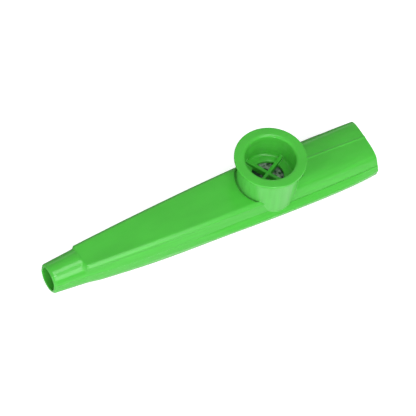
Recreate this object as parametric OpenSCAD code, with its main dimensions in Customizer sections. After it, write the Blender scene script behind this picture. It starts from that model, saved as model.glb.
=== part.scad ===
// Plastic kazoo: two moulded shells joined along the body, a push-in cap with a cross, and a
// membrane on its ring. Millimetres. X runs from the round tip to the mouth end, Z is up, and
// the origin is on the table under the middle of the length.

/* [Overall] */
// Length, from the tip's open end to the mouth end
body_l = 114.6; // [104:0.2:124]
// Height of the widest line above the table
keel_d = 7; // [6.6:0.1:8]
// Height of the tip's axis above the widest line
tip_rise = 0.9; // [0.6:0.1:1.2]
// Height of the joint between the shells above the widest line
joint_rise = 2.3; // [2:0.1:2.6]
// Wall of both shells
wall = 1.2; // [1:0.05:1.4]

/* [Tip] */
// Length of the round tapered tip in front of the panel
tip_l = 10.6; // [9:0.2:13]
// Outer radius at the tip's open end
tip_end_r = 4.85; // [4.4:0.05:5.2]
// Outer radius where the tip meets the body
tip_root_r = 5.75; // [5.5:0.05:6.1]
// Wall of the tip at its open end
tip_wall = 1; // [0.8:0.05:1.2]
// Radius of the rounded rim of the open end
tip_round = 0.4; // [0.2:0.05:0.45]

/* [Body] */
// Half width on the widest line where the body is broadest
belly_half_w = 11.1; // [10.8:0.1:11.8]
// Distance from the mouth end forward to the broadest place
belly_back = 15.5; // [13:0.5:19]
// Half width on the widest line at the mouth end
mouth_half_w = 10; // [9.2:0.1:10.8]
// How far the widest line stands out from the side wall at the turret
flare = 1.4; // [1.2:0.1:1.6]
// Height of the flat panel above the widest line, at its front edge
panel_front_h = 6.35; // [6:0.05:6.8]
// Height of the panel above the widest line, at the turret
panel_rear_h = 7.15; // [6.9:0.05:7.6]
// Length of the sloped face from the tip up to the panel
shoulder_l = 0.7; // [0.5:0.05:0.9]
// Width of the bevel along each side of the panel
bevel_w = 1.1; // [0.9:0.05:1.4]
// Height of that bevel
bevel_h = 1; // [0.8:0.05:1.2]
// Height of the upright edge under the bevel
edge_h = 0.55; // [0.4:0.05:0.7]
// How far the side wall is set in under that edge
edge_in = 0.2; // [0.1:0.05:0.3]
// Height of the roof above the widest line, behind the turret
rear_roof_h = 8.3; // [7.8:0.1:8.8]
// Height of the roof above the widest line, at the mouth end
mouth_roof_h = 6.5; // [6:0.1:7]
// Depth of the lower shell below the widest line, at the mouth end
mouth_keel_d = 6.8; // [5.8:0.1:6.9]
// Width of the raised line along the roof behind the turret
ridge_w = 1; // [0.8:0.1:1.4]
// Height of that raised line
ridge_h = 0.2; // [0.1:0.05:0.3]
// Half width of the flat that the kazoo lies on
keel_flat_half_w = 5.5; // [4.5:0.1:6]

/* [Turret] */
// Distance from the mouth end forward to the turret's axis
turret_back = 36.1; // [34:0.1:38]
// Outer radius of the turret
turret_r = 9.9; // [9.7:0.05:10.3]
// Height of the turret's top edge above the widest line
turret_h = 16.8; // [15.6:0.1:18]
// Wall of the turret
turret_wall = 0.95; // [0.8:0.05:1.1]
// Width of the sunk ring round the turret, behind it
moat_w = 1.1; // [0.9:0.05:1.4]
// Width of the sunk ring in front of the turret, across the panel
front_moat_w = 0.7; // [0.5:0.05:0.9]
// Thickness of the floor of the sunk ring, up from the joint
moat_floor_t = 1; // [0.8:0.05:1.2]
// Thickness of the inner ledge that the membrane's ring lies on
seat_t = 1; // [0.8:0.05:1.2]
// Radius of the hole inside that ledge
seat_hole_r = 6.6; // [6:0.1:7]

/* [Cap] */
// Outer radius of the cap's flat flange
cap_r = 11.6; // [11.2:0.1:12.2]
// Thickness of the flange
flange_t = 1; // [0.8:0.05:1.2]
// Radius of the flange's rounded outer edge
flange_round = 0.3; // [0.2:0.05:0.38]
// Wall of the cup inside the turret
cup_wall = 0.8; // [0.6:0.05:1]
// Gap all round between the cup and the turret
cup_gap = 0.05; // [0.02:0.01:0.09]
// Depth of the cup, from the flange's top to its floor
cup_depth = 9.7; // [9:0.1:10.4]
// Radius of the rounded mouth of the cup
cup_round = 1; // [0.8:0.05:1.2]
// Radius of the hollow curve where the cup's wall meets its floor
cup_foot_r = 0.9; // [0.6:0.1:1.2]
// Thickness of the cup's floor
cup_floor_t = 1; // [0.8:0.05:1.2]
// Radius of the hole in the cup's floor
cup_hole_r = 5.25; // [4.8:0.05:5.6]
// Width of each bar of the cross
bar_w = 1.2; // [1:0.1:1.5]
// Height of the bars above the cup's floor
bar_h = 1.3; // [0.8:0.1:1.8]
// Turn of the cross from the length of the body, in degrees
bar_turn = 28; // [0:1:89]

/* [Membrane] */
// Thickness of the film with its glue, thicker than the bare film
film_t = 0.1; // [0.08:0.01:0.15]
// Thickness of the ring under the film
ring_t = 0.8; // [0.6:0.05:1]
// Width of the ring, from its hole to its rim
ring_w = 2.3; // [1.8:0.1:2.6]
// Gap all round between the ring and the turret
ring_gap = 0.15; // [0.1:0.05:0.25]

/* [Hidden] */
$fn = 96;

// How far cuts run past what they cut
over = 1;

// Places along the length
front_x = -body_l / 2;
shoulder_x = front_x + tip_l;
mouth_x = body_l / 2;
belly_x = mouth_x - belly_back;
turret_x = mouth_x - turret_back;

// Heights above the table
belt_z = keel_d;
axis_z = belt_z + tip_rise;
joint_z = belt_z + joint_rise;
moat_z = joint_z + moat_floor_t;
turret_top_z = belt_z + turret_h;
rim_z = turret_top_z + flange_t;
cup_floor_z = rim_z - cup_depth;
film_z = cup_floor_z - cup_floor_t - film_t;
ring_z = film_z - ring_t;

// Radii of the turret and of what goes in it
turret_bore_r = turret_r - turret_wall;
moat_r = turret_r + moat_w;
cup_r = turret_bore_r - cup_gap;
cup_bore_r = cup_r - cup_wall;
ring_r = turret_bore_r - ring_gap;

// Share of the half width that the flat panel takes
panel_share = 0.68;
// Where the flare begins and where it is full, as shares of the way from the shoulder to the turret
flare_start_share = 0.26;
flare_full_share = 0.82;
// How much of the flare the bowl under the widest line is set back by
bowl_share = 0.7;
// How much of the flare is left at the mouth end
flare_end_share = 0.35;
// How far the dome's sides lean in, as a share of their height above the joint
lean_share = 0.42;
// Roundness of the dome's sides and of its top, and of the lower shell under the belly
side_power = 3;
top_power = 5.5;
keel_power = 2.45;
// Curves with which the half width grows from the tip and draws in to the mouth end
growth_power = 1.8;
draw_in_power = 2.2;
// Stations and points of each shell
front_steps = 16;
rear_steps = 9;
tip_steps = 3;
dome_steps = 16;
bowl_steps = 16;

// Depth that the keel would have without its flat
round_keel_d = keel_d
    / pow(1 - pow(keel_flat_half_w / (belly_half_w - flare), keel_power), 1 / keel_power);

// Grows quickly from a at the shoulder and levels out to b at the belly
function growing(a, b, x) =
    let (u = min(1, (x - shoulder_x) / (belly_x - shoulder_x))) b - (b - a) * pow(1 - u, growth_power);
// Share of the way from the belly to the mouth end, zero in front of the belly
function past_belly(x) = max(0, (x - belly_x) / (mouth_x - belly_x));

// Radius of the tip
function tip_r(x) = tip_end_r + (tip_root_r - tip_end_r) * (x - front_x) / tip_l;
// Half width on the widest line
function half_w(x) =
    growing(tip_root_r, belly_half_w, x)
    - (belly_half_w - mouth_half_w) * pow(past_belly(x), draw_in_power);
// Share of the full flare at a place along the body
function flare_share(x) =
    let (along = (x - shoulder_x) / (turret_x - shoulder_x),
         u = (along - flare_start_share) / (flare_full_share - flare_start_share),
         t = max(0, min(1, u)))
    t * t * (3 - 2 * t) * (1 - (1 - flare_end_share) * pow(past_belly(x), 2));
// Half width of both shells at the joint
function joint_half_w(x) =
    half_w(x) * sqrt(1 - pow((joint_rise - tip_rise) / panel_rear_h, 2)) - flare * flare_share(x);
// Half width and depth of the lower shell's bowl
function bowl_half_w(x) = half_w(x) - flare * bowl_share * flare_share(x);
function bowl_d(x) =
    growing(tip_root_r - tip_rise, round_keel_d, x) - (round_keel_d - mouth_keel_d) * pow(past_belly(x), 2);
// Height of the panel and of the roof above the widest line
function panel_h(x) =
    panel_front_h + (panel_rear_h - panel_front_h) * sin(90 * (x - shoulder_x) / (turret_x - shoulder_x));
function roof_h(x) =
    rear_roof_h - (rear_roof_h - mouth_roof_h) * pow((x - turret_x) / (mouth_x - turret_x), 2);

// Puts a list of [y, z] points above the widest line into the plane at x
function placed(x, list) = [for (p = list) [x, p[0], belt_z + p[1]]];
// Mirrors a half outline over the top, from the side to the middle, onto the other side
function over_top(half) =
    concat(half, [for (i = [len(half) - 1:-1:0]) if (half[i][0] > 0) [-half[i][0], half[i][1]]]);
// Joins a half outline and the half outline inside it into one round the wall, under the keel
function round_wall(outer, inner) =
    let (last = len(outer) - 1)
    concat(
        [for (i = [0:last]) [-outer[i][0], outer[i][1]]], [for (i = [last - 1:-1:0]) outer[i]],
        inner, [for (i = [last - 1:-1:0]) [-inner[i][0], inner[i][1]]]);

// A closed solid through outlines of as many points each, in planes across the length
module loft(rings) {
    n = len(rings[0]);
    m = len(rings);
    sides = [for (i = [0:m - 2]) for (j = [0:n - 1]) let (a = i * n + j, b = i * n + (j + 1) % n)
        each [[a, b + n, b], [a, a + n, b + n]]];
    polyhedron(
        points = [for (r = rings) each r],
        faces = concat(sides, [[for (j = [0:n - 1]) j]], [[for (j = [n - 1:-1:0]) (m - 1) * n + j]]),
        convexity = 6);
}

// A closed solid through outlines that run round a wall, first outside and then back inside
module walled_loft(rings) {
    n = len(rings[0]);
    m = len(rings);
    half = n / 2;
    sides = [for (i = [0:m - 2]) for (j = [0:n - 1]) let (a = i * n + j, b = i * n + (j + 1) % n)
        each [[a, b + n, b], [a, a + n, b + n]]];
    start = [for (j = [0:half - 2]) each [[j, j + 1, n - 1 - j], [j + 1, n - 2 - j, n - 1 - j]]];
    last = (m - 1) * n;
    polyhedron(
        points = [for (r = rings) each r],
        faces = concat(sides, start, [for (f = start) [f[2] + last, f[1] + last, f[0] + last]]),
        convexity = 6);
}

// Half outline of the tip above the joint, with as many points as the panel's
function tip_half(x) =
    let (r = tip_r(x), low = asin((joint_rise - tip_rise) / r))
    [for (i = [0:6]) let (a = low + (90 - low) * i / 6) [r * cos(a), r * sin(a) + tip_rise]];
// Half outline of the tip under the joint
function tip_low_half(x, inset) =
    let (r = tip_r(x) - inset, top = asin((joint_rise - tip_rise) / r), belt = -asin(tip_rise / r))
    concat([[r * cos(top), joint_rise]],
        [for (i = [0:bowl_steps]) let (a = belt + (-90 - belt) * i / bowl_steps)
            [r * cos(a), r * sin(a) + tip_rise]]);
// Half outline of the body in front of the turret, from the joint up to the middle of the panel
function panel_half(x) =
    let (w = half_w(x) * panel_share, h = panel_h(x), out = w + bevel_w)
    [[joint_half_w(x), joint_rise],
     [out - edge_in, h - bevel_h - edge_h - edge_in],
     [out, h - bevel_h - edge_h],
     [out, h - bevel_h],
     [w, h],
     [w / 2, h],
     [0, h]];
// The same outline inside the wall
function panel_half_inside(x) =
    let (w = half_w(x) * panel_share, h = panel_h(x) - wall)
    [[joint_half_w(x) - wall, joint_rise - over],
     [joint_half_w(x) - wall, joint_rise],
     [w + bevel_w - edge_in - wall, h - bevel_h],
     [w + bevel_w - edge_in - wall - bevel_h, h],
     [0, h]];
// Half outline of the domed part behind the turret, with the raised line in its middle
function dome_half(x, inset, foot) =
    let (low_w = joint_half_w(x) - inset, h = roof_h(x) - inset, rise = h - joint_rise)
    concat(
        foot > 0 ? [[low_w, joint_rise - foot]] : [],
        [for (i = [0:dome_steps - 1])
            let (a = 90 * i / dome_steps, up = rise * pow(sin(a), 2 / top_power))
            [(low_w - lean_share * up) * pow(cos(a), 2 / side_power), joint_rise + up]],
        inset > 0 ? [[0, h]] : [[ridge_w / 2, h], [0, h + ridge_h]]);
// Half outline of the lower shell, from the joint down to the keel
function bowl_half(x, inset) =
    let (w = bowl_half_w(x) - inset,
         d = inset > 0 ? min(bowl_d(x), keel_d) - inset : bowl_d(x),
         shaped = max(0, min(1, (x - shoulder_x) / (belly_x - shoulder_x))),
         power = 2 + (keel_power - 2) * sqrt(shaped))
    concat(
        [[joint_half_w(x) - inset, joint_rise], [inset > 0 ? w : half_w(x), 0]],
        [for (i = [1:bowl_steps]) let (a = 90 * i / bowl_steps)
            [w * pow(cos(a), 2 / power), -d * pow(sin(a), 2 / power)]]);

// Places of the stations
tip_xs = [for (i = [0:tip_steps - 1]) front_x + tip_l * i / tip_steps];
panel_l = turret_x - shoulder_x - shoulder_l;
front_xs = [for (i = [0:front_steps]) shoulder_x + shoulder_l + panel_l * i / front_steps];
rear_xs = [for (i = [0:rear_steps]) turret_x + turret_back * sin(90 * i / rear_steps)];

module across_turret(r, z0, z1) {
    translate([turret_x, 0, z0]) cylinder(r = r, h = z1 - z0);
}

// Bore of the tip, tapered with the tip's outside
module tip_bore() {
    past = over * (tip_root_r - tip_end_r) / tip_l;
    end_r = tip_end_r - tip_wall - past;
    root_r = tip_root_r - tip_wall + past;
    translate([front_x - over, 0, axis_z]) rotate([0, 90, 0])
        cylinder(r1 = end_r, r2 = root_r, h = tip_l + 2 * over);
}

// What rounding off leaves of the tip's rim
module tip_rim_cut() {
    translate([front_x, 0, axis_z]) rotate([0, 90, 0]) rotate_extrude()
        difference() {
            translate([tip_end_r - tip_round, -over]) square([tip_round + over, tip_round + over]);
            translate([tip_end_r - tip_round, tip_round]) circle(r = tip_round, $fn = 48);
            translate([tip_end_r - tip_round - over, tip_round]) square([over + tip_round, over]);
        }
}

module upper_shell() {
    color("#3fae38") union() {
        difference() {
            union() {
                loft(concat(
                    [for (x = tip_xs) placed(x, over_top(tip_half(x)))],
                    [placed(shoulder_x, over_top(tip_half(shoulder_x)))],
                    [for (x = front_xs) placed(x, over_top(panel_half(x)))]));
                loft([for (x = rear_xs) placed(x, over_top(dome_half(x, 0, 0)))]);
            }
            // the hollow, which stops short of the turret
            difference() {
                union() {
                    loft([for (x = front_xs) placed(x, over_top(panel_half_inside(x)))]);
                    loft([for (i = [0:rear_steps]) let (x = rear_xs[i], past = i == rear_steps ? over : 0)
                        placed(x + past, over_top(dome_half(x, wall, over)))]);
                }
                across_turret(moat_r + wall, belt_z, rim_z);
            }
            // the sunk ring, and the room for the turret's own wall
            moat();
            across_turret(turret_bore_r, belt_z, rim_z);
            tip_bore();
            tip_rim_cut();
        }
        turret();
    }
}

// The sunk ring: right across the dome behind the turret, and only in the flat panel in front
module moat() {
    flat_half_w = half_w(turret_x) * panel_share - edge_in;
    intersection() {
        across_turret(moat_r, moat_z, rim_z);
        translate([turret_x, -moat_r, moat_z]) cube([moat_r, 2 * moat_r, rim_z]);
    }
    intersection() {
        across_turret(turret_r + front_moat_w, moat_z, rim_z);
        translate([turret_x - moat_r, -flat_half_w, moat_z]) cube([moat_r, 2 * flat_half_w, rim_z]);
    }
}

// The turret: a tube on the sunk floor, with the ledge that carries the membrane's ring
module turret() {
    translate([turret_x, 0, 0]) rotate_extrude() {
        translate([turret_bore_r, joint_z]) square([turret_wall, turret_top_z - joint_z]);
        translate([seat_hole_r, ring_z - seat_t])
            square([turret_bore_r - seat_hole_r + turret_wall / 2, seat_t]);
    }
}

// The turret's foot on both sides, from the joint down to the flare
module turret_feet() {
    reach = turret_r - joint_half_w(turret_x) + wall / 2;
    intersection() {
        across_turret(turret_r, belt_z + tip_rise / 2, joint_z);
        for (side = [-1, 1]) translate([turret_x, side * turret_r, belt_z])
            cube([2 * turret_r, 2 * reach, 2 * joint_rise], center = true);
    }
}

module lower_shell() {
    color("#3fae38") difference() {
        union() {
            walled_loft(concat(
                [for (x = concat(tip_xs, [shoulder_x]))
                    placed(x, round_wall(tip_low_half(x, 0), tip_low_half(x, tip_wall + wall / 2)))],
                [for (x = concat(front_xs, [for (i = [1:rear_steps]) rear_xs[i]]))
                    placed(x, round_wall(bowl_half(x, 0), bowl_half(x, wall)))]));
            turret_feet();
        }
        tip_bore();
        tip_rim_cut();
        // the flat that the kazoo lies on
        translate([front_x, -belly_half_w, -keel_d]) cube([body_l, 2 * belly_half_w, keel_d]);
    }
}

// The cap: a flat flange on a deep cup, whose floor has a hole under a cross of bars
module resonator_cap() {
    color("#3fae38") translate([turret_x, 0, 0]) {
        rotate_extrude() difference() {
            union() {
                translate([cup_bore_r, turret_top_z]) square([cap_r - flange_round - cup_bore_r, flange_t]);
                translate([cup_bore_r, turret_top_z + flange_round])
                    square([cap_r - cup_bore_r, flange_t - 2 * flange_round]);
                for (z = [turret_top_z + flange_round, rim_z - flange_round])
                    translate([cap_r - flange_round, z]) circle(r = flange_round, $fn = 32);
                translate([cup_bore_r, cup_floor_z - cup_floor_t])
                    square([cup_wall, turret_top_z - cup_floor_z + cup_floor_t + flange_t / 2]);
                translate([cup_hole_r, cup_floor_z - cup_floor_t])
                    square([cup_bore_r - cup_hole_r + cup_wall / 2, cup_floor_t]);
                difference() {
                    translate([cup_bore_r - cup_foot_r, cup_floor_z - cup_floor_t / 2])
                        square([cup_foot_r + cup_wall / 2, cup_foot_r + cup_floor_t / 2]);
                    translate([cup_bore_r - cup_foot_r, cup_floor_z + cup_foot_r])
                        circle(r = cup_foot_r, $fn = 48);
                }
            }
            // the rounded mouth
            difference() {
                translate([cup_bore_r - over, rim_z - cup_round])
                    square([over + cup_round, cup_round + over]);
                translate([cup_bore_r + cup_round, rim_z - cup_round]) circle(r = cup_round, $fn = 64);
            }
        }
        intersection() {
            rotate([0, 0, bar_turn]) for (a = [0, 90]) rotate([0, 0, a])
                translate([-cup_r, -bar_w / 2, cup_floor_z - cup_floor_t])
                    cube([2 * cup_r, bar_w, cup_floor_t + bar_h]);
            translate([0, 0, cup_floor_z - cup_floor_t])
                cylinder(r = cup_bore_r + cup_wall / 2, h = cup_floor_t + bar_h);
        }
    }
}

// The thin film that buzzes, glued over the ring
module membrane() {
    color("#c9cfca", 0.6) across_turret(ring_r, film_z, film_z + film_t);
}

// The ring that holds the film and lies on the turret's ledge
module membrane_ring() {
    color("#e8e8e2") translate([turret_x, 0, ring_z]) rotate_extrude()
        translate([ring_r - ring_w, 0]) square([ring_w, ring_t]);
}

upper_shell();
lower_shell();
resonator_cap();
membrane();
membrane_ring();
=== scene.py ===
import math

import bpy
from mathutils import Matrix, Vector


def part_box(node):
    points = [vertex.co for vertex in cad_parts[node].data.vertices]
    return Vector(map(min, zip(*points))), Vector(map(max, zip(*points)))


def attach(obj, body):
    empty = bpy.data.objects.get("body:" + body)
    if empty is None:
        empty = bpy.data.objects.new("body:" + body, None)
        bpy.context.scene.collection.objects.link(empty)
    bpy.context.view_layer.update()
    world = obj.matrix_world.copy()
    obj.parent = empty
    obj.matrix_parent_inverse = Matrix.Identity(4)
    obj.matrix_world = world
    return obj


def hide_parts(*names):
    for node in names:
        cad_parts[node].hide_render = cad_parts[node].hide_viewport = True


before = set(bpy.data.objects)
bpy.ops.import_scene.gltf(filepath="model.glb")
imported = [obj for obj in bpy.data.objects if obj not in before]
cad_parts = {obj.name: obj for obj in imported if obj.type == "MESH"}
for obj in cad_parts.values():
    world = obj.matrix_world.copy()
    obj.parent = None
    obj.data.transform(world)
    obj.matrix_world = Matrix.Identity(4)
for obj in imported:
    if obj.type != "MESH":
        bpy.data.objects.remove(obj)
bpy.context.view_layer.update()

# LOWER SHELL. The bottom half of the body, injection moulded in green plastic: half a tube at the
# tip, then a bowl under a flared band that ends in a sharp widest line. It is joined for good to the
# top half, and a flat along its keel lets the kazoo lie on a table.
mm = 0.001


def solid_box(node):
    """Lowest and highest corner of one of the frame's solids, in millimetres."""
    return [[round(v / mm, 3) for v in corner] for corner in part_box(node)]


shell_low, shell_high = solid_box("lower_shell")
film_low, film_high = solid_box("membrane")

# places along the length, and heights
front_x = shell_low[0]
mouth_x = shell_high[0]
turret_x = round((film_low[0] + film_high[0]) / 2, 3)
tip_l = 10.6
shoulder_l = 0.7
belly_to_mouth = 15.5
shoulder_x = front_x + tip_l
belly_x = mouth_x - belly_to_mouth
joint_z = shell_high[2]
joint_rise = 2.3
belt_z = round(joint_z - joint_rise, 3)
tip_rise = 0.9

# walls, radii and half widths
wall = 1.2
tip_wall = 1.0
tip_round = 0.72
bore_ease = 0.25
tip_end_r = 4.85
tip_root_r = 5.75
belly_half_w = 11.1
mouth_half_w = 10.0
mouth_keel_d = 6.8
keel_flat_half_w = 5.5
flare = 1.4
panel_rear_h = 7.15
turret_r = 9.9
joint_ease = 0.09
belt_ease = 0.35

# how the body swells, flares and draws in, and how round its bowl is
growth_power = 1.8
draw_in_power = 2.2
keel_power = 2.45
flare_start_share = 0.26
flare_full_share = 0.82
flare_end_share = 0.35
bowl_share = 0.7
round_keel_d = belt_z / (1 - (keel_flat_half_w / (belly_half_w - flare)) ** keel_power) ** (1 / keel_power)

# stations along the length and points round the bowl, and how far cuts run past what they cut
rim_steps = 7
tip_steps = 6
blend_l = 6.0
blend_steps = 16
body_steps = 70
bowl_steps = 32
ease_steps = 4
bar_sides = 160
past = 20.0


def past_shoulder(x):
    """Share of the way from the shoulder to the belly, from 0 to 1."""
    return min(1.0, max(0.0, (x - shoulder_x) / (belly_x - shoulder_x)))


def growing(low, high, x):
    """Grows quickly from the shoulder and levels out at the belly."""
    return high - (high - low) * (1 - past_shoulder(x)) ** growth_power


def past_belly(x):
    """Share of the way from the belly to the mouth end, zero in front of the belly."""
    return max(0.0, (x - belly_x) / (mouth_x - belly_x))


def taper_radius(x):
    """Radius of the tip's plain taper."""
    return tip_end_r + (tip_root_r - tip_end_r) * (x - front_x) / tip_l


def tip_radius(x):
    """The tip's taper, with its rim rounded off at the open end."""
    short = max(0.0, tip_round - (x - front_x))
    return taper_radius(x) - tip_round + math.sqrt(max(0.0, tip_round ** 2 - short ** 2))


def bore_radius(x):
    """The tip's bore, with a small ease at its open end."""
    short = max(0.0, bore_ease - (x - front_x))
    return taper_radius(x) - tip_wall + bore_ease - math.sqrt(bore_ease ** 2 - short ** 2)


def half_width(x):
    """Half width on the widest line."""
    return (growing(tip_root_r, belly_half_w, x)
            - (belly_half_w - mouth_half_w) * past_belly(x) ** draw_in_power)


def flare_share(x):
    """Share of the full flare at a place along the body."""
    along = (x - shoulder_x) / (turret_x - shoulder_x)
    t = min(1.0, max(0.0, (along - flare_start_share) / (flare_full_share - flare_start_share)))
    return t * t * (3 - 2 * t) * (1 - (1 - flare_end_share) * past_belly(x) ** 2)


def joint_half_width(x):
    """Half width of both shells at the joint."""
    up = (joint_rise - tip_rise) / panel_rear_h
    return half_width(x) * math.sqrt(1 - up ** 2) - flare * flare_share(x)


def bowl_depth(x):
    """Depth of the bowl under the widest line, before the keel's flat is cut."""
    return (growing(tip_root_r - tip_rise, round_keel_d, x)
            - (round_keel_d - mouth_keel_d) * past_belly(x) ** 2)


def bowl_half(x, inset):
    """Half outline of the bowl, from the joint out to the widest line and down to the keel."""
    w = half_width(x) - bowl_share * flare * flare_share(x) - inset
    d = min(bowl_depth(x), belt_z) - inset if inset else bowl_depth(x)
    power = 2 + (keel_power - 2) * math.sqrt(past_shoulder(x))
    half = [(joint_half_width(x) - inset, joint_rise), (w if inset else half_width(x), 0.0)]
    for i in range(1, bowl_steps + 1):
        a = math.pi / 2 * i / bowl_steps
        half.append((w * max(0.0, math.cos(a)) ** (2 / power), -d * math.sin(a) ** (2 / power)))
    return half


def tip_low_half(r):
    """Half outline of the tip under the joint, at the radius r about the tip's axis."""
    half = [(math.sqrt(r ** 2 - (joint_rise - tip_rise) ** 2), joint_rise)]
    belt = math.asin(tip_rise / r)
    for i in range(bowl_steps + 1):
        a = -belt - (math.pi / 2 - belt) * i / bowl_steps
        half.append((r * math.cos(a), r * math.sin(a) + tip_rise))
    return half


def between(start, end, share):
    """Goes over smoothly from one outline to another of as many points."""
    t = share * share * (3 - 2 * share)
    return [(a[0] + (b[0] - a[0]) * t, a[1] + (b[1] - a[1]) * t) for a, b in zip(start, end)]


def eased(outline, eases):
    """The same closed outline with some corners rounded; eases is {corner number: radius}."""
    longest_share = 0.45
    out = []
    for i, corner in enumerate(outline):
        if i not in eases:
            out.append(corner)
            continue
        p = Vector(corner)
        before = Vector(outline[i - 1]) - p
        after = Vector(outline[(i + 1) % len(outline)]) - p
        a = p + before.normalized() * min(eases[i], before.length * longest_share)
        b = p + after.normalized() * min(eases[i], after.length * longest_share)
        for k in range(ease_steps + 1):
            t = k / ease_steps
            q = a * (1 - t) ** 2 + p * 2 * t * (1 - t) + b * t ** 2
            out.append((q.x, q.y))
    return out


def round_wall(outer, inner):
    """One outline round the wall, from the left joint under the keel and back inside."""
    flipped = [(-y, z) for y, z in outer]
    flipped_in = [(-y, z) for y, z in inner]
    whole = flipped + outer[-2::-1] + inner + flipped_in[-2::-1]
    right_joint = 2 * len(outer) - 2
    return eased(whole, {0: joint_ease, 1: belt_ease, right_joint - 1: belt_ease, right_joint: joint_ease})


def skinned(name, stations):
    """A closed skin over outlines of as many points each; stations is a list of (x, outline)."""
    bpy.ops.object.select_all(action="DESELECT")
    rows, points = len(stations), len(stations[0][1])
    bpy.ops.mesh.primitive_grid_add(x_subdivisions=rows - 1, y_subdivisions=points, size=1)
    piece = bpy.context.object
    piece.name = piece.data.name = name
    corners = piece.data.vertices
    # the grid's corners, row by row
    order = sorted(range(len(corners)), key=lambda v: (round(corners[v].co.x, 5), round(corners[v].co.y, 5)))
    for i, (x, outline) in enumerate(stations):
        for j in range(points + 1):
            y, rise = outline[j % points]
            corners[order[i * (points + 1) + j]].co = (x * mm, y * mm, (belt_z + rise) * mm)
    bpy.ops.object.mode_set(mode="EDIT")
    bpy.ops.mesh.select_all(action="SELECT")
    bpy.ops.mesh.remove_doubles(threshold=1e-7)
    bpy.ops.mesh.fill_holes(sides=0)
    bpy.ops.mesh.normals_make_consistent(inside=False)
    bpy.ops.mesh.select_all(action="DESELECT")
    bpy.ops.object.mode_set(mode="OBJECT")
    return piece


def picked(piece):
    """Selects this piece alone, and makes it the active one."""
    bpy.ops.object.select_all(action="DESELECT")
    bpy.context.view_layer.objects.active = piece
    piece.select_set(True)


def combined(piece, other, operation):
    """Cuts the other piece out of this one, joins it on, or keeps what both share."""
    picked(piece)
    cut = piece.modifiers.new("cut", "BOOLEAN")
    cut.operation = operation
    cut.solver = "MANIFOLD"
    cut.object = other
    bpy.ops.object.modifier_apply(modifier="cut")
    bpy.data.objects.remove(other, do_unlink=True)


def round_bar(radius, low, high, top_radius=None):
    """An upright round bar on the turret's axis between two heights, tapered if it has a top_radius."""
    bpy.ops.object.select_all(action="DESELECT")
    bpy.ops.mesh.primitive_cone_add(
        vertices=bar_sides, radius1=radius * mm, radius2=(top_radius or radius) * mm,
        depth=(high - low) * mm, location=(turret_x * mm, 0, (low + high) / 2 * mm))
    bpy.ops.object.transform_apply(location=True, rotation=False, scale=False)
    return bpy.context.object


def block(low, high):
    """A plain block between its lowest and highest corners."""
    bpy.ops.object.select_all(action="DESELECT")
    bpy.ops.mesh.primitive_cube_add(size=1, location=[(a + b) / 2 * mm for a, b in zip(low, high)])
    bpy.context.object.scale = [(b - a) * mm for a, b in zip(low, high)]
    bpy.ops.object.transform_apply(location=True, rotation=False, scale=True)
    return bpy.context.object


def smoothed(piece, angle):
    """Shades the piece smooth, with creases at edges sharper than the angle in degrees."""
    picked(piece)
    bpy.ops.object.shade_smooth_by_angle(angle=math.radians(angle))


def tip_places():
    """Stations along the tip, close together over the rounded rim."""
    rim = [front_x + tip_round * (1 - math.cos(math.pi / 2 * i / rim_steps)) for i in range(rim_steps + 1)]
    return rim + [rim[-1] + (shoulder_x - rim[-1]) * i / tip_steps for i in range(1, tip_steps + 1)]


lower_stations = []
for x in tip_places():
    lower_stations.append((x, round_wall(tip_low_half(tip_radius(x)), tip_low_half(bore_radius(x)))))
for i in range(1, blend_steps):
    share = i / blend_steps
    x = shoulder_x + blend_l * share
    lower_stations.append((x, round_wall(
        between(tip_low_half(tip_radius(x)), bowl_half(x, 0), share),
        between(tip_low_half(bore_radius(x)), bowl_half(x, wall), share))))
body_l = mouth_x - shoulder_x - blend_l
for i in range(body_steps + 1):
    x = shoulder_x + blend_l + body_l * i / body_steps
    lower_stations.append((x, round_wall(bowl_half(x, 0), bowl_half(x, wall))))
lower_shell = skinned("lower_shell_moulded", lower_stations)
combined(lower_shell, block((front_x - past, -past, -past), (mouth_x + past, past, 0)), "DIFFERENCE")

# the turret's foot, which runs down to the band on both sides
foot_gap = 0.02
foot_in = joint_half_width(turret_x) - wall / 2
foot = round_bar(turret_r, belt_z + tip_rise / 2, joint_z - foot_gap)
combined(foot, block((turret_x - past, -foot_in, 0), (turret_x + past, foot_in, past)), "DIFFERENCE")
combined(lower_shell, foot, "UNION")
crease = 32
smoothed(lower_shell, crease)


def wired(tree, kind, links=(), **values):
    """Adds a shader node, sets its values and links, and gives it back."""
    made = tree.nodes.new(kind)
    for name, value in values.items():
        setattr(made, name, value)
    for socket, source in dict(links).items():
        if isinstance(source, bpy.types.NodeSocket):
            tree.links.new(source, made.inputs[socket])
        else:
            made.inputs[socket].default_value = source
    return made


def noise(tree, place, scale, detail):
    """A cloudy pattern from 0 to 1, with about scale clouds to the metre."""
    return wired(tree, "ShaderNodeTexNoise", {"Vector": place, "Scale": scale, "Detail": detail}).outputs[0]


def spread(tree, value, start, end, low, high):
    """Turns values from start to end into values from low to high, and holds them at both ends."""
    return wired(tree, "ShaderNodeMapRange", {0: value, 1: start, 2: end, 3: low, 4: high}).outputs[0]


def product(tree, first, second):
    """One value times another."""
    return wired(tree, "ShaderNodeMath", {0: first, 1: second}, operation="MULTIPLY").outputs[0]


def blended(tree, factor, first, second):
    """Goes from the first colour to the second as the factor goes from 0 to 1."""
    ends = [(*c, 1) if isinstance(c, tuple) else c for c in (first, second)]
    return wired(tree, "ShaderNodeMix", {"Factor": factor, "A": ends[0], "B": ends[1]},
                 data_type="RGBA").outputs["Result"]


def emptied(holder):
    """Gives a material or a world an empty node tree, and returns the tree."""
    holder.use_nodes = True
    holder.node_tree.nodes.clear()
    return holder.node_tree


def coated(piece, *finishes):
    """Gives the piece these finishes in place of any that it has."""
    piece.data.materials.clear()
    for finish in finishes:
        piece.data.materials.append(finish)


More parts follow.
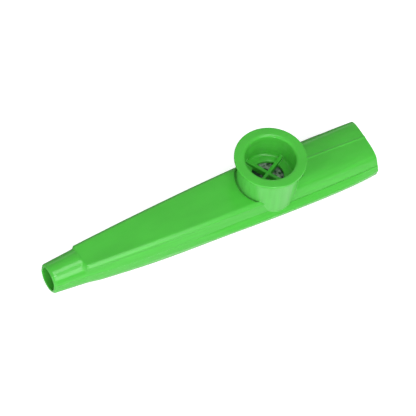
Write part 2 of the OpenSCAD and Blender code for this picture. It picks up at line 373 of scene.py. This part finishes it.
def moulded_plastic(name, green, roughness, stretch):
    """Moulded plastic: an even green with faint flow marks, drawn out as stretch says, and paler edges: wear
    and painted highlight.
    """
    # the paler green of the edges: partly wear, partly painted highlight
    wear_and_highlight_green = (0.3, 0.76, 0.27)
    edge_r = 0.25 * mm
    wave_h = 0.08 * mm
    grain_h = 0.004 * mm
    light_depth = 0.8 * mm
    material = bpy.data.materials.new(name)
    tree = emptied(material)
    place = wired(tree, "ShaderNodeTexCoord").outputs["Object"]
    stretched = wired(tree, "ShaderNodeMapping", {"Vector": place, "Scale": stretch}).outputs[0]
    flow = noise(tree, stretched, 1.0, 3.0)
    speck = noise(tree, place, 900.0, 4.0)
    grain = noise(tree, place, 2600.0, 2.0)
    # faint lighter and darker flow marks
    marks = spread(tree, flow, 0.3, 0.7, 0.0, 1.0)
    even = blended(tree, marks, tuple(c * 0.94 for c in green), tuple(c * 1.05 for c in green))
    # edges painted paler, partly wear and partly a painted highlight along them: where the rounded normal
    # leaves the flat one
    soft = wired(tree, "ShaderNodeBevel", {"Radius": edge_r}, samples=8).outputs[0]
    face = wired(tree, "ShaderNodeNewGeometry").outputs["Normal"]
    turn = wired(tree, "ShaderNodeVectorMath", {0: soft, 1: face}, operation="DOT_PRODUCT").outputs["Value"]
    wear_and_highlight = product(tree, spread(tree, turn, 0.99, 0.9, 0.0, 1.0), spread(tree, speck, 0.42, 0.62, 0.2, 0.75))
    colour = blended(tree, wear_and_highlight, even, wear_and_highlight_green)
    # gloss, long waves and a fine grain
    rough = spread(tree, flow, 0.3, 0.7, roughness, roughness + 0.06)
    waves = wired(tree, "ShaderNodeBump", {
        "Strength": 0.07, "Distance": wave_h, "Height": flow, "Normal": soft}).outputs[0]
    bump = wired(tree, "ShaderNodeBump", {
        "Strength": 0.1, "Distance": grain_h, "Height": grain, "Normal": waves}).outputs[0]
    shader = wired(tree, "ShaderNodeBsdfPrincipled", {
        "Base Color": colour, "Roughness": rough, "IOR": 1.5, "Normal": bump,
        "Subsurface Weight": 0.25, "Subsurface Scale": light_depth, "Subsurface Radius": (0.3, 1.0, 0.2)})
    wired(tree, "ShaderNodeOutputMaterial", {"Surface": shader.outputs[0]})
    return material


shell_green = (0.07, 0.5, 0.049)
# painted light: the turret is moulded in the shells' green, and this paler green paints the brighter light on
# its wall
turret_painted_light_green = (0.105, 0.55, 0.084)
along_body = (55, 160, 1500)
up_turret = (700, 700, 25)
shell_plastic = moulded_plastic("shell_plastic", shell_green, 0.17, along_body)
core_plastic = moulded_plastic("core_plastic", shell_green, 0.55, along_body)
turret_painted_light_plastic = moulded_plastic("turret_painted_light_plastic", turret_painted_light_green, 0.2, up_turret)


def dressed_shell(piece):
    """Gives a shell its gloss, the core's dull finish inside, and on the turret's wall a paler finish with
    painted light.
    """
    coated(piece, shell_plastic, core_plastic, turret_painted_light_plastic)
    middle_z = (belt_z + 1) * mm
    turret_room_r = 12.15 * mm
    slack = 0.02 * mm
    for face in piece.data.polygons:
        place = face.center
        from_turret = math.hypot(place.x - turret_x * mm, place.y)
        on_turret = abs(from_turret - turret_r * mm) < slack and abs(face.normal.z) < 0.1
        by_turret = from_turret < turret_room_r and place.z > middle_z
        inward = face.normal.y * place.y + face.normal.z * (place.z - middle_z) < 0
        dull = inward and not by_turret and place.x > shoulder_x * mm
        # the finishes count from 0, in the order above
        face.material_index = 2 if on_turret else 1 if dull else 0


dressed_shell(lower_shell)
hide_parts("lower_shell")
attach(lower_shell, "body")

# UPPER SHELL. The top half of the body in the same plastic: the tip's upper half, a flat panel
# with sloped edges, the sunk ring with the round turret standing in it, and a plain dome with
# one raised line behind the turret.
turret_top_z = solid_box("upper_shell")[1][2]
seat_z = solid_box("membrane_ring")[0][2]
seat_t = 1.0
seat_hole_r = 6.6
bore_r = 8.95

# the panel, its bevel and the upright edge under it
panel_front_h = 6.35
panel_share = 0.68
bevel_w = 1.1
bevel_h = 1.0
edge_h = 0.55
edge_in = 0.2
wall_steps = 6
flat_steps = 8
panel_eases = {
    0: joint_ease, wall_steps: 0.15, wall_steps + 1: 0.12, wall_steps + 2: 0.16, wall_steps + 3: 0.4}

# the dome, its raised line and the small ledge at its foot
rear_roof_h = 8.3
mouth_roof_h = 6.5
side_lean = 0.42
side_power = 3.0
top_power = 5.5
ledge = 0.2
dome_ease = 0.03
dome_steps = 40
dome_top_half_w = 1.0
ridge_h = 0.22
ridge_half_w = 0.55
ridge_ys = (0.8, 0.66, 0.55, 0.46, 0.37, 0.28, 0.18, 0.09, 0.0)

# the sunk ring: a narrow slot in the panel, and a wider one that opens upwards in the dome
moat_r = 11.0
front_moat_r = 10.6
front_moat_z = 13.2
rear_moat_z = 12.2
rear_moat_top_z = 16.0
rear_moat_top_r = 11.5
rear_moat_half_w = 5.0

# stations, and how far pieces reach into each other where they are joined
step_shares = (0.12, 0.88)
front_steps = 44
rear_steps = 36
lap = 1.0


def panel_rise(x):
    """Height of the panel above the widest line."""
    along = min(1.0, (x - shoulder_x) / (turret_x - shoulder_x))
    return panel_front_h + (panel_rear_h - panel_front_h) * math.sin(math.pi / 2 * along)


def roof_rise(x):
    """Height of the roof above the widest line, behind the turret."""
    along = max(0.0, x - turret_x) / (mouth_x - turret_x)
    return rear_roof_h - (rear_roof_h - mouth_roof_h) * along ** 2


def panel_half(x):
    """Half outline in front of the turret, from the joint up to the middle of the panel."""
    w, h = half_width(x) * panel_share, panel_rise(x)
    out = w + bevel_w
    foot_y, top_z = joint_half_width(x), h - bevel_h - edge_h - edge_in
    side = []
    for i in range(wall_steps + 1):
        up = i / wall_steps
        side.append((foot_y + (out - edge_in - foot_y) * up, joint_rise + (top_z - joint_rise) * up))
    flat = [(w * (1 - i / flat_steps), h) for i in range(flat_steps + 1)]
    return side + [(out, h - bevel_h - edge_h), (out, h - bevel_h)] + flat


def tip_top_half(x):
    """Half outline of the tip above the joint, with its points in line with the panel's."""
    r = tip_radius(x)
    low = math.asin((joint_rise - tip_rise) / r)
    turns = [math.atan2(z - tip_rise, y) for y, z in panel_half(shoulder_x + shoulder_l)]
    share = (math.pi / 2 - low) / (math.pi / 2 - turns[0])
    half = []
    for turn in turns:
        a = low + (turn - turns[0]) * share
        half.append((r * math.cos(a), r * math.sin(a) + tip_rise))
    return half


def over_top(half, eases):
    """Both halves of an outline over the top, with the same corners rounded on both sides."""
    last = 2 * (len(half) - 1)
    both = {**eases, **{last - i: r for i, r in eases.items()}}
    return eased(half + [(-y, z) for y, z in half[-2::-1]], both)


def panel_inside(x):
    """Outline of the hollow under the panel."""
    w, h = half_width(x) * panel_share, panel_rise(x) - wall
    foot_y, out = joint_half_width(x) - wall, w + bevel_w - edge_in - wall
    half = [(foot_y, joint_rise - lap), (foot_y, joint_rise),
            (out, h - bevel_h), (out - bevel_h, h), (0.0, h)]
    return over_top(half, {})


def dome_half(x, inset):
    """Half outline of the dome behind the turret; the outside carries the raised line."""
    w = joint_half_width(x) - (inset or ledge)
    rise = roof_rise(x) - inset - joint_rise
    top_w = w - side_lean * rise
    half = [(w, joint_rise - lap)] if inset else []
    last = math.acos((dome_top_half_w / top_w) ** (side_power / 2))
    for i in range(dome_steps + 1):
        a = last * (i / dome_steps) ** 2
        up = rise * math.sin(a) ** (2 / top_power)
        half.append(((w - side_lean * up) * math.cos(a) ** (2 / side_power), joint_rise + up))
    for y in ridge_ys:
        a = math.acos((y / top_w) ** (side_power / 2))
        raised = 0 if inset or y > ridge_half_w else ridge_h * math.cos(math.pi / 2 * y / ridge_half_w) ** 2
        half.append((y, joint_rise + rise * math.sin(a) ** (2 / top_power) + raised))
    return half


front_stations = [(x, over_top(tip_top_half(x), panel_eases)) for x in tip_places()]
for share in step_shares:
    x = shoulder_x + shoulder_l * share
    front_stations.append((x, over_top(between(tip_top_half(x), panel_half(x), share), panel_eases)))
panel_l = turret_x + lap - shoulder_x - shoulder_l
front_places = [shoulder_x + shoulder_l + panel_l * i / front_steps for i in range(front_steps + 1)]
front_stations += [(x, over_top(panel_half(x), panel_eases)) for x in front_places]
upper_shell = skinned("upper_shell_moulded", front_stations)

rear_l = mouth_x - turret_x + lap
rear_places = [turret_x - lap + rear_l * i / rear_steps for i in range(rear_steps + 1)]
rear = skinned("rear", [(x, over_top(dome_half(x, 0), {0: dome_ease})) for x in rear_places])
combined(upper_shell, rear, "UNION")

# the hollow, which stops short of the turret
above_z = turret_top_z + past
hollow = skinned("hollow", [(x, panel_inside(x)) for x in front_places])
rear_hollow = skinned("rear_hollow", [
    (x + (lap if x == rear_places[-1] else 0), over_top(dome_half(x, wall), {})) for x in rear_places])
combined(hollow, rear_hollow, "UNION")
combined(hollow, round_bar(moat_r + wall, 0, above_z), "DIFFERENCE")
combined(upper_shell, hollow, "DIFFERENCE")

# the sunk ring and the turret's bore
rear_moat = round_bar(moat_r, rear_moat_z, rear_moat_top_z, rear_moat_top_r)
combined(rear_moat, block((turret_x, -rear_moat_half_w, 0), (turret_x + past, rear_moat_half_w, above_z)),
         "INTERSECT")
combined(upper_shell, rear_moat, "DIFFERENCE")
flat_half_w = half_width(turret_x) * panel_share - edge_in
front_moat = round_bar(front_moat_r, front_moat_z, above_z)
combined(front_moat, block((turret_x - past, -flat_half_w, 0), (turret_x, flat_half_w, above_z)), "INTERSECT")
combined(upper_shell, front_moat, "DIFFERENCE")
combined(upper_shell, round_bar(bore_r, 0, above_z), "DIFFERENCE")

# the tip's bore
bore_sides = 96
bore_places = [front_x - lap / 2] + tip_places() + [shoulder_x + 2 * lap]
bore_stations = []
for x in bore_places:
    r = bore_radius(max(x, front_x))
    turns = [math.tau * i / bore_sides for i in range(bore_sides)]
    bore_stations.append((x, [(r * math.cos(a), tip_rise + r * math.sin(a)) for a in turns]))
combined(upper_shell, skinned("bore", bore_stations), "DIFFERENCE")


def turned(name, profile, sides):
    """A ring turned about the turret's axis from a closed profile of (radius, height)."""
    bpy.ops.object.select_all(action="DESELECT")
    bpy.ops.mesh.primitive_circle_add(vertices=len(profile), radius=1 * mm)
    piece = bpy.context.object
    piece.name = piece.data.name = name
    for corner, (r, z) in zip(piece.data.vertices, profile):
        corner.co = ((turret_x + r) * mm, 0, z * mm)
    bpy.ops.object.mode_set(mode="EDIT")
    bpy.ops.mesh.select_all(action="SELECT")
    bpy.ops.mesh.spin(steps=sides, angle=math.tau, center=(turret_x * mm, 0, 0), axis=(0, 0, 1))
    bpy.ops.mesh.select_all(action="SELECT")
    bpy.ops.mesh.remove_doubles(threshold=1e-6)
    bpy.ops.mesh.normals_make_consistent(inside=False)
    bpy.ops.mesh.select_all(action="DESELECT")
    bpy.ops.object.mode_set(mode="OBJECT")
    return piece


# the turret, with the ledge inside it that the membrane's ring lies on
turret = turned("turret", [
    (bore_r, joint_z), (turret_r, joint_z), (turret_r, turret_top_z), (bore_r, turret_top_z),
    (bore_r, seat_z), (seat_hole_r, seat_z), (seat_hole_r, seat_z - seat_t), (bore_r, seat_z - seat_t)],
    bar_sides)
combined(upper_shell, turret, "UNION")
smoothed(upper_shell, crease)
dressed_shell(upper_shell)
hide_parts("upper_shell")
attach(upper_shell, "body")

# RESONATOR CAP. A deep cup with a flat flange, moulded in the same green, pushed into the turret.
# Its floor has a round hole with a cross of two bars over it that guards the membrane.
cap_low, cap_high = solid_box("resonator_cap")
cup_foot_z = cap_low[2]
rim_z = cap_high[2]
cap_r = cap_high[0] - turret_x
cup_r = 8.9
cup_bore_r = 8.1
cup_floor_z = 15.1
cup_hole_r = 5.25
flange_low_round = 0.3
flange_top_round = 0.35
mouth_round = 1.0
foot_round = 0.9
hole_round = 0.15
cap_sides = 192
bar_half_w = 0.6
bar_reach = 8.5
bar_top_z = 16.4
bar_turn = 28
bar_round = 0.32
long_edge_l = 2.0


def arc(r, z, radius, start, end, steps):
    """Points of an arc about (r, z), between two angles in degrees."""
    angles = [math.radians(start + (end - start) * i / steps) for i in range(steps + 1)]
    return [(r + radius * math.cos(a), z + radius * math.sin(a)) for a in angles]


resonator_cap = turned("resonator_cap_moulded", (
    [(cup_r, cup_foot_z), (cup_r, turret_top_z)]
    + arc(cap_r - flange_low_round, turret_top_z + flange_low_round, flange_low_round, -90, 0, 5)
    + arc(cap_r - flange_top_round, rim_z - flange_top_round, flange_top_round, 0, 90, 6)
    + arc(cup_bore_r + mouth_round, rim_z - mouth_round, mouth_round, 90, 180, 12)
    + arc(cup_bore_r - foot_round, cup_floor_z + foot_round, foot_round, 0, -90, 10)
    + arc(cup_hole_r + hole_round, cup_floor_z - hole_round, hole_round, 90, 180, 3)
    + [(cup_hole_r, cup_foot_z)]), cap_sides)

# the cross, with the long edges of its bars rounded on top
cross = block(
    (turret_x - bar_reach, -bar_half_w, cup_foot_z), (turret_x + bar_reach, bar_half_w, bar_top_z))
second_bar = block(
    (turret_x - bar_half_w, -bar_reach, cup_foot_z), (turret_x + bar_half_w, bar_reach, bar_top_z))
combined(cross, second_bar, "UNION")
cross.data.transform(
    Matrix.Translation((turret_x * mm, 0, 0)) @ Matrix.Rotation(math.radians(bar_turn), 4, "Z")
    @ Matrix.Translation((-turret_x * mm, 0, 0)))
combined(cross, round_bar(bar_reach, cup_foot_z, bar_top_z), "INTERSECT")
picked(cross)
bpy.ops.object.mode_set(mode="EDIT")
bpy.ops.mesh.select_all(action="SELECT")
bpy.ops.mesh.dissolve_limited(angle_limit=0.01)
bpy.ops.mesh.select_all(action="DESELECT")
bpy.ops.object.mode_set(mode="OBJECT")
for edge in cross.data.edges:
    ends = [cross.data.vertices[v].co for v in edge.vertices]
    on_top = min(end.z for end in ends) > (bar_top_z - 0.1) * mm
    edge.select = on_top and (ends[0] - ends[1]).length > long_edge_l * mm
bpy.ops.object.mode_set(mode="EDIT")
bpy.ops.mesh.bevel(offset=bar_round * mm, segments=3, profile=0.5, affect="EDGES", loop_slide=False)
bpy.ops.mesh.select_all(action="DESELECT")
bpy.ops.object.mode_set(mode="OBJECT")
combined(resonator_cap, cross, "UNION")
smoothed(resonator_cap, crease)

cap_green = (0.073, 0.51, 0.051)
cap_plastic = moulded_plastic("cap_plastic", cap_green, 0.15, along_body)
coated(resonator_cap, cap_plastic)
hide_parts("resonator_cap")
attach(resonator_cap, "cap")

# MEMBRANE AND ITS RING. A thin grey translucent film, slightly wrinkled, glued over a thin white
# ring that lies on the turret's ledge and is held down by the cap's floor.
film_r = round((film_high[0] - film_low[0]) / 2, 3)
film_z = (film_low[2] + film_high[2]) / 2
film_t = 0.04
film_sides = 96
film_rings = 22
ring_step = 0.39
free_r = 6.4
long_wrinkles = 3
long_wrinkle_h = 0.035
short_wrinkles = 7
short_wrinkle_h = 0.02
film_crease = 40

bpy.ops.object.select_all(action="DESELECT")
bpy.ops.mesh.primitive_circle_add(
    vertices=film_sides, radius=film_r * mm, fill_type="NGON", location=(turret_x * mm, 0, film_z * mm))
membrane = bpy.context.object
membrane.name = membrane.data.name = "membrane_film"
bpy.ops.object.transform_apply(location=True, rotation=False, scale=False)
bpy.ops.object.mode_set(mode="EDIT")
bpy.ops.mesh.select_all(action="SELECT")
for _ in range(film_rings):
    bpy.ops.mesh.inset(thickness=ring_step * mm)
bpy.ops.mesh.select_all(action="DESELECT")
bpy.ops.object.mode_set(mode="OBJECT")
# wrinkles that run outwards, and die away at the middle and at the ring
for corner in membrane.data.vertices:
    r = math.hypot(corner.co.x - turret_x * mm, corner.co.y) / mm
    a = math.atan2(corner.co.y, corner.co.x - turret_x * mm)
    if r < free_r:
        wrinkle = long_wrinkle_h * math.sin(long_wrinkles * a + 0.8)
        wrinkle += short_wrinkle_h * math.sin(short_wrinkles * a + r)
        corner.co.z += wrinkle * math.sin(math.pi * (1 - r / free_r)) * mm
thick = membrane.modifiers.new("thick", "SOLIDIFY")
thick.thickness = film_t * mm
thick.offset = 0
bpy.context.view_layer.objects.active = membrane
bpy.ops.object.modifier_apply(modifier="thick")
smoothed(membrane, film_crease)


def film_finish():
    """The film: dark, with pale cloudy mottling, and painted shade that darkens it towards the tip's side."""
    dark = (0.02, 0.06, 0.03)
    pale = (0.5, 0.57, 0.51)
    dark_x = (turret_x - 2.4) * mm
    pale_x = (turret_x - 0.2) * mm
    bump_h = 0.05 * mm
    material = bpy.data.materials.new("film")
    tree = emptied(material)
    place = wired(tree, "ShaderNodeTexCoord").outputs["Object"]
    along = wired(tree, "ShaderNodeSeparateXYZ", {0: place}).outputs["X"]
    cloud = noise(tree, place, 900.0, 6.0)
    # painted shade: the film darkens towards the tip's side, where the cup shades it
    mottle_and_shade = product(tree, spread(tree, cloud, 0.38, 0.72, 0.0, 1.0),
                    spread(tree, along, dark_x, pale_x, 0.04, 1.0))
    relief = wired(tree, "ShaderNodeBump", {"Strength": 0.6, "Distance": bump_h, "Height": cloud}).outputs[0]
    shader = wired(tree, "ShaderNodeBsdfPrincipled", {
        "Base Color": blended(tree, mottle_and_shade, dark, pale), "Roughness": 0.25, "IOR": 1.45,
        "Alpha": 0.78, "Normal": relief})
    wired(tree, "ShaderNodeOutputMaterial", {"Surface": shader.outputs[0]})
    return material


coated(membrane, film_finish())
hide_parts("membrane")
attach(membrane, "resonator")


def ring_finish():
    """The ring: dull white plastic with a fine grain."""
    grey = (0.68, 0.69, 0.64)
    white = (0.8, 0.8, 0.77)
    bump_h = 0.02 * mm
    material = bpy.data.materials.new("ring_plastic")
    tree = emptied(material)
    place = wired(tree, "ShaderNodeTexCoord").outputs["Object"]
    grain = noise(tree, place, 1500.0, 4.0)
    relief = wired(tree, "ShaderNodeBump", {"Strength": 0.2, "Distance": bump_h, "Height": grain}).outputs[0]
    shader = wired(tree, "ShaderNodeBsdfPrincipled", {
        "Base Color": blended(tree, grain, grey, white), "Roughness": 0.45, "IOR": 1.5, "Normal": relief})
    wired(tree, "ShaderNodeOutputMaterial", {"Surface": shader.outputs[0]})
    return material


# the ring keeps its solid from the frame
coated(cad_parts["membrane_ring"], ring_finish())

# FLOOR, LIGHT AND CAMERA. A plain white sheet under the kazoo, soft boxes and cards round it as in
# a light tent, and the camera of the photograph.
floor_size = 6.0
floor_drop = 0.02 * mm


def floor_finish():
    """A matt white sheet; in the gloss it shows a painted glow on the near side and painted shade behind the
    kazoo.
    """
    white = (0.8, 0.8, 0.8)
    dim = (0.1, 0.1, 0.1)
    camera_lift = 0.58
    gloss_lift = 0.2
    dim_share = 0.8
    near_y = -5 * mm
    far_y = 15 * mm
    material = bpy.data.materials.new("floor_white")
    tree = emptied(material)
    path = wired(tree, "ShaderNodeLightPath").outputs
    in_gloss = wired(tree, "ShaderNodeMath", {0: path["Is Glossy Ray"], 1: path["Is Transmission Ray"]},
                     operation="MAXIMUM").outputs[0]
    place = wired(tree, "ShaderNodeTexCoord").outputs["Object"]
    across = wired(tree, "ShaderNodeSeparateXYZ", {0: place}).outputs["Y"]
    # painted light and shade in the gloss: a glow on the near side, and the sheet dimmed behind the kazoo
    gloss_painted_glow = product(tree, in_gloss, spread(tree, across, near_y, far_y, gloss_lift, 0.0))
    gloss_painted_shade = product(tree, in_gloss, spread(tree, across, near_y, far_y, 0.0, dim_share))
    lift = wired(tree, "ShaderNodeMath", {0: path["Is Camera Ray"], 1: camera_lift, 2: gloss_painted_glow},
                 operation="MULTIPLY_ADD").outputs[0]
    paper = blended(tree, gloss_painted_shade, white, dim)
    matte = wired(tree, "ShaderNodeBsdfDiffuse", {"Color": paper}).outputs[0]
    glow = wired(tree, "ShaderNodeEmission", {"Color": (1, 1, 1, 1), "Strength": lift}).outputs[0]
    both = wired(tree, "ShaderNodeAddShader", {0: matte, 1: glow}).outputs[0]
    wired(tree, "ShaderNodeOutputMaterial", {"Surface": both})
    return material


bpy.ops.object.select_all(action="DESELECT")
bpy.ops.mesh.primitive_plane_add(size=floor_size, location=(0, 0, -floor_drop))
floor = bpy.context.object
floor.name = "floor"
coated(floor, floor_finish())

# an even fill from all round, with pure white behind the floor
fill_strength = 0.3
world = bpy.data.worlds.new("tent")
bpy.context.scene.world = world
tent = emptied(world)
seen = wired(tent, "ShaderNodeLightPath").outputs["Is Camera Ray"]
fill = wired(tent, "ShaderNodeBackground", {"Color": (1, 1, 1, 1), "Strength": fill_strength}).outputs[0]
backdrop = wired(tent, "ShaderNodeBackground", {"Color": (1, 1, 1, 1), "Strength": 1.0}).outputs[0]
shown = wired(tent, "ShaderNodeMixShader", {0: seen, 1: fill, 2: backdrop}).outputs[0]
wired(tent, "ShaderNodeOutputWorld", {"Surface": shown})


def soft_lamp(name, direction, width, height, power, mirrored=True, lights=True):
    """A soft box aimed at the kazoo. Gloss shows it if mirrored, and it lights matt faces if lights."""
    distance = 0.7
    aim_z = 0.01
    lamp = bpy.data.lights.new(name, "AREA")
    lamp.shape = "RECTANGLE"
    lamp.size, lamp.size_y = width, height
    lamp.energy = power
    holder = bpy.data.objects.new(name, lamp)
    bpy.context.scene.collection.objects.link(holder)
    holder.location = Vector(direction).normalized() * distance + Vector((0, 0, aim_z))
    holder.rotation_euler = Vector(direction).to_track_quat("Z", "Y").to_euler()
    holder.visible_glossy = mirrored
    holder.visible_diffuse = lights


# the tent's walls, which don't show in the gloss
soft_lamp("near_tent", (-0.3, -0.8, 0.5), width=0.35, height=0.35, power=1.7, mirrored=False)
soft_lamp("left_tent", (-0.8, -0.22, 0.56), width=0.2, height=0.2, power=1.35, mirrored=False)
soft_lamp("right_tent", (0.65, -0.6, 0.45), width=0.35, height=0.35, power=0.8, mirrored=False)
# the boxes and cards that give the streaks and bright spots
soft_lamp("left_card", (-0.88, -0.42, 0.17), width=0.3, height=0.14, power=0.3)
soft_lamp("near_box", (0.02, -0.78, 0.63), width=0.3, height=0.26, power=0.95)
soft_lamp("upper_box", (0.02, -0.14, 0.99), width=0.3, height=0.26, power=0.95)
soft_lamp("low_left_card", (-0.58, -0.8, 0.13), width=0.1, height=0.06, power=0.5, lights=False)
soft_lamp("small_box", (-0.05, -0.5, 0.86), width=0.07, height=0.05, power=0.22)
soft_lamp("far_card", (0.3, 0.93, 0.2), width=0.5, height=0.11, power=0.2)

# the camera: a long lens, from the near side and the tip's end, and well above
camera_place = (-0.42257702, -0.57538338, 1.05230544)
camera_right = Vector((0.8688698, -0.48807545, 0.08275038))
camera_up = Vector((0.36496971, 0.7444985, 0.55903407))
camera_back = Vector((-0.33445834, -0.45552644, 0.82500502))
camera_data = bpy.data.cameras.new("camera")
camera_data.sensor_width = 36
camera_data.lens = 346.15
camera_data.clip_end = 10
camera = bpy.data.objects.new("camera", camera_data)
bpy.context.scene.collection.objects.link(camera)
bpy.context.scene.camera = camera
camera.matrix_world = (Matrix.Translation(camera_place)
                       @ Matrix((camera_right, camera_up, camera_back)).transposed().to_4x4())

bpy.context.scene.view_settings.view_transform = "Standard"
